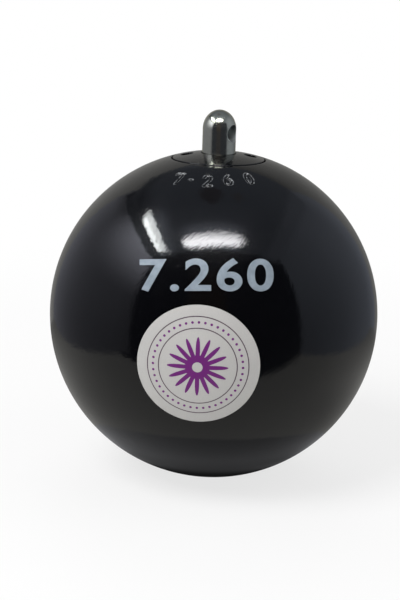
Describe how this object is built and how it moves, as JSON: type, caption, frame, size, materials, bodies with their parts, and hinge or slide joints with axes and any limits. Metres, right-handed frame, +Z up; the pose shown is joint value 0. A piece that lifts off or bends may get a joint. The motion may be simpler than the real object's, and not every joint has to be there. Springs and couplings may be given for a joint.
{
  "type": "throwing hammer head",
  "caption": "Heavy black enamelled steel ball with a screwed-in cover and a bright, round-ended swivel spindle, cross-drilled to take the wire of a throwing hammer.",
  "frame": {"origin": "centre of the small flat under the ball, on which the head stands", "axes": "+Z up along the spindle, +X along the wire's eye through the spindle; the label faces -Y and +X, 61 degrees from +X towards -Y"},
  "size_m": [0.12, 0.1202, 0.1347],
  "materials": {
    "black_enamel": "high-gloss black enamel on steel",
    "bright_steel": "polished and plated",
    "bearing_steel": "ground and polished",
    "plated_steel": "zinc plated",
    "bronze": "machined bronze",
    "nitrile_rubber": "matt",
    "cast_lead": "dull, as cast",
    "label_foil": "printed silver-grey foil, satin"
  },
  "bodies": {
    "head": {"steel_ball": "black_enamel", "bearing_cover": "black_enamel", "round_label": "label_foil", "dust_seal": "nitrile_rubber", "cover_bush": "bronze", "housing_washer": "bearing_steel", "tail_bush": "bronze", "ballast_slug": "cast_lead", "ballast_plug": "plated_steel"},
    "swivel": {"spindle": "bright_steel", "shaft_washer": "bearing_steel", "nut_washer": "plated_steel", "castle_nut": "plated_steel", "split_pin": "plated_steel"},
    "cage": {"ball_cage": "bronze"},
    "rolling_ball_01": {"bearing_ball_01": "bearing_steel"},
    "rolling_ball_02": {"bearing_ball_02": "bearing_steel"},
    "rolling_ball_03": {"bearing_ball_03": "bearing_steel"},
    "rolling_ball_04": {"bearing_ball_04": "bearing_steel"},
    "rolling_ball_05": {"bearing_ball_05": "bearing_steel"},
    "rolling_ball_06": {"bearing_ball_06": "bearing_steel"},
    "rolling_ball_07": {"bearing_ball_07": "bearing_steel"},
    "rolling_ball_08": {"bearing_ball_08": "bearing_steel"},
    "rolling_ball_09": {"bearing_ball_09": "bearing_steel"},
    "rolling_ball_10": {"bearing_ball_10": "bearing_steel"}
  },
  "joints": [
    {"name": "spindle_swivel", "type": "hinge", "parent": "head", "child": "swivel", "pos_m": [0, 0, 0.09979], "axis": [0, 0, 1], "continuous": true},
    {"name": "cage_orbit", "type": "hinge", "parent": "head", "child": "cage", "pos_m": [0, 0, 0.09979], "axis": [0, 0, 1], "continuous": true},
    {"name": "ball_01_roll", "type": "hinge", "parent": "cage", "child": "rolling_ball_01", "pos_m": [0.0103, 0, 0.09979], "axis": [1, 0, 0], "continuous": true},
    {"name": "ball_02_roll", "type": "hinge", "parent": "cage", "child": "rolling_ball_02", "pos_m": [0.00833, 0.00605, 0.09979], "axis": [0.809, 0.5878, 0], "continuous": true},
    {"name": "ball_03_roll", "type": "hinge", "parent": "cage", "child": "rolling_ball_03", "pos_m": [0.00318, 0.0098, 0.09979], "axis": [0.309, 0.9511, 0], "continuous": true},
    {"name": "ball_04_roll", "type": "hinge", "parent": "cage", "child": "rolling_ball_04", "pos_m": [-0.00318, 0.0098, 0.09979], "axis": [-0.309, 0.9511, 0], "continuous": true},
    {"name": "ball_05_roll", "type": "hinge", "parent": "cage", "child": "rolling_ball_05", "pos_m": [-0.00833, 0.00605, 0.09979], "axis": [-0.809, 0.5878, 0], "continuous": true},
    {"name": "ball_06_roll", "type": "hinge", "parent": "cage", "child": "rolling_ball_06", "pos_m": [-0.0103, 0, 0.09979], "axis": [-1, 0, 0], "continuous": true},
    {"name": "ball_07_roll", "type": "hinge", "parent": "cage", "child": "rolling_ball_07", "pos_m": [-0.00833, -0.00605, 0.09979], "axis": [-0.809, -0.5878, 0], "continuous": true},
    {"name": "ball_08_roll", "type": "hinge", "parent": "cage", "child": "rolling_ball_08", "pos_m": [-0.00318, -0.0098, 0.09979], "axis": [-0.309, -0.9511, 0], "continuous": true},
    {"name": "ball_09_roll", "type": "hinge", "parent": "cage", "child": "rolling_ball_09", "pos_m": [0.00318, -0.0098, 0.09979], "axis": [0.309, -0.9511, 0], "continuous": true},
    {"name": "ball_10_roll", "type": "hinge", "parent": "cage", "child": "rolling_ball_10", "pos_m": [0.00833, -0.00605, 0.09979], "axis": [0.809, -0.5878, 0], "continuous": true}
  ],
  "couplings": [
    {"joint": "cage_orbit", "follows": "spindle_swivel", "ratio": 0.5},
    {"joint": "ball_01_roll", "follows": "spindle_swivel", "ratio": 2.1639},
    {"joint": "ball_02_roll", "follows": "spindle_swivel", "ratio": 2.1639},
    {"joint": "ball_03_roll", "follows": "spindle_swivel", "ratio": 2.1639},
    {"joint": "ball_04_roll", "follows": "spindle_swivel", "ratio": 2.1639},
    {"joint": "ball_05_roll", "follows": "spindle_swivel", "ratio": 2.1639},
    {"joint": "ball_06_roll", "follows": "spindle_swivel", "ratio": 2.1639},
    {"joint": "ball_07_roll", "follows": "spindle_swivel", "ratio": 2.1639},
    {"joint": "ball_08_roll", "follows": "spindle_swivel", "ratio": 2.1639},
    {"joint": "ball_09_roll", "follows": "spindle_swivel", "ratio": 2.1639},
    {"joint": "ball_10_roll", "follows": "spindle_swivel", "ratio": 2.1639}
  ]
}
